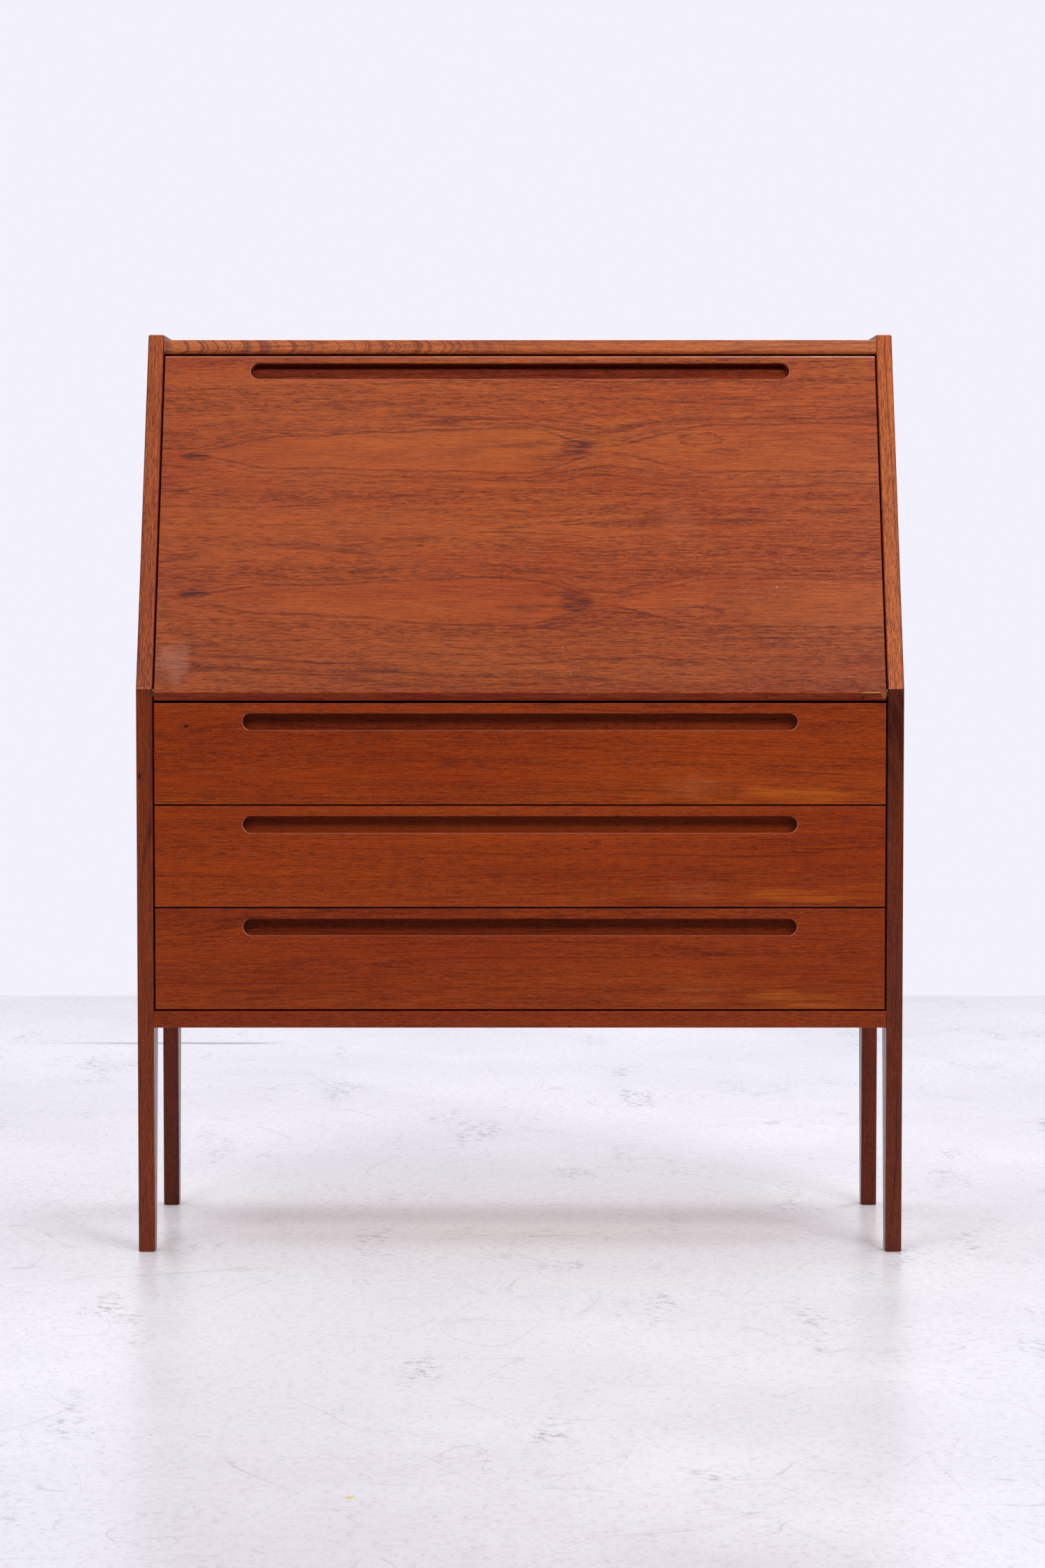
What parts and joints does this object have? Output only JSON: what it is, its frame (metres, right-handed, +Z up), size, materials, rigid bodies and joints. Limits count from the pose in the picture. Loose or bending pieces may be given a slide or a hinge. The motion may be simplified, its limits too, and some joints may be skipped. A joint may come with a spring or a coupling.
{
  "type": "secretary desk",
  "caption": "Teak secretary desk on tapered legs with a slanted fall flap, full-width drawers below it, long finger slots, and shelves and letter drawers behind the flap.",
  "frame": {"origin": "on the floor under the centre of the desk's bounding box", "axes": "+Z up; -Y out of the front, the way the drawers and flap open; +X to the right of someone facing the front"},
  "size_m": [0.985, 0.436, 1.189],
  "materials": {
    "teak_veneer": "satin oiled veneer",
    "teak_solid": "satin oiled solid wood",
    "drawer_wood": "waxed pale hardwood",
    "ply": "plain thin plywood",
    "brass": "dull satin brass",
    "steel": "zinc plated"
  },
  "bodies": {
    "case": {"front_leg_left": "teak_solid", "slant_post_left": "teak_solid", "rear_leg_left": "teak_solid", "side_panel_left": "teak_veneer", "front_leg_right": "teak_solid", "slant_post_right": "teak_solid", "rear_leg_right": "teak_solid", "side_panel_right": "teak_veneer", "top_board": "teak_veneer", "desk_floor": "teak_veneer", "bottom_rail": "teak_solid", "bottom_panel": "drawer_wood", "back_panel": "ply", "flap_stop": "teak_solid", "drawer_1_runners": "drawer_wood", "drawer_2_runners": "drawer_wood", "drawer_3_runners": "drawer_wood", "stay_stud_left": "brass", "stay_stud_right": "brass", "pivot_pins": "brass", "carcass_dowels": "drawer_wood", "case_screws": "steel", "gallery_shelf": "teak_veneer", "nest_wall_left": "teak_veneer", "nest_wall_middle": "teak_veneer", "nest_wall_right": "teak_veneer", "divider_left": "teak_veneer", "divider_right": "teak_veneer"},
    "flap": {"flap_board": "teak_veneer", "pivot_bushes": "brass", "stay_bracket_left": "brass", "stay_bracket_right": "brass", "flap_screws": "brass"},
    "stay_left": {"flap_stay_left": "brass"},
    "stay_right": {"flap_stay_right": "brass"},
    "drawer_1": {"drawer_1_front": "teak_veneer", "drawer_1_side_left": "drawer_wood", "drawer_1_side_right": "drawer_wood", "drawer_1_back": "drawer_wood", "drawer_1_bottom": "ply"},
    "drawer_2": {"drawer_2_front": "teak_veneer", "drawer_2_side_left": "drawer_wood", "drawer_2_side_right": "drawer_wood", "drawer_2_back": "drawer_wood", "drawer_2_bottom": "ply"},
    "drawer_3": {"drawer_3_front": "teak_veneer", "drawer_3_side_left": "drawer_wood", "drawer_3_side_right": "drawer_wood", "drawer_3_back": "drawer_wood", "drawer_3_bottom": "ply"},
    "letter_drawer_left": {"letter_drawer_left_front": "teak_veneer", "letter_drawer_left_side_left": "drawer_wood", "letter_drawer_left_side_right": "drawer_wood", "letter_drawer_left_back": "drawer_wood", "letter_drawer_left_bottom": "ply"},
    "letter_drawer_right": {"letter_drawer_right_front": "teak_veneer", "letter_drawer_right_side_left": "drawer_wood", "letter_drawer_right_side_right": "drawer_wood", "letter_drawer_right_back": "drawer_wood", "letter_drawer_right_bottom": "ply"}
  },
  "joints": [
    {"name": "flap_hinge", "type": "hinge", "parent": "case", "child": "flap", "pos_m": [0, -0.208, 0.7215], "axis": [1, 0, 0], "range_deg": [0, 114.55]},
    {"name": "stay_left_pivot", "type": "hinge", "parent": "flap", "child": "stay_left", "pos_m": [-0.46815, -0.13427, 0.84174], "axis": [1, 0, 0], "range_deg": [-68.8, 0]},
    {"name": "stay_right_pivot", "type": "hinge", "parent": "flap", "child": "stay_right", "pos_m": [0.46815, -0.13427, 0.84174], "axis": [1, 0, 0], "range_deg": [-68.8, 0]},
    {"name": "drawer_1_slide", "type": "slide", "parent": "case", "child": "drawer_1", "axis": [0, -1, 0], "range_m": [0, 0.3]},
    {"name": "drawer_2_slide", "type": "slide", "parent": "case", "child": "drawer_2", "axis": [0, -1, 0], "range_m": [0, 0.3]},
    {"name": "drawer_3_slide", "type": "slide", "parent": "case", "child": "drawer_3", "axis": [0, -1, 0], "range_m": [0, 0.3]},
    {"name": "letter_drawer_left_slide", "type": "slide", "parent": "case", "child": "letter_drawer_left", "axis": [0, -1, 0], "range_m": [0, 0.12]},
    {"name": "letter_drawer_right_slide", "type": "slide", "parent": "case", "child": "letter_drawer_right", "axis": [0, -1, 0], "range_m": [0, 0.12]}
  ],
  "couplings": [
    {"joint": "stay_left_pivot", "follows": "flap_hinge", "ratio": -0.6},
    {"joint": "stay_right_pivot", "follows": "flap_hinge", "ratio": -0.6}
  ]
}
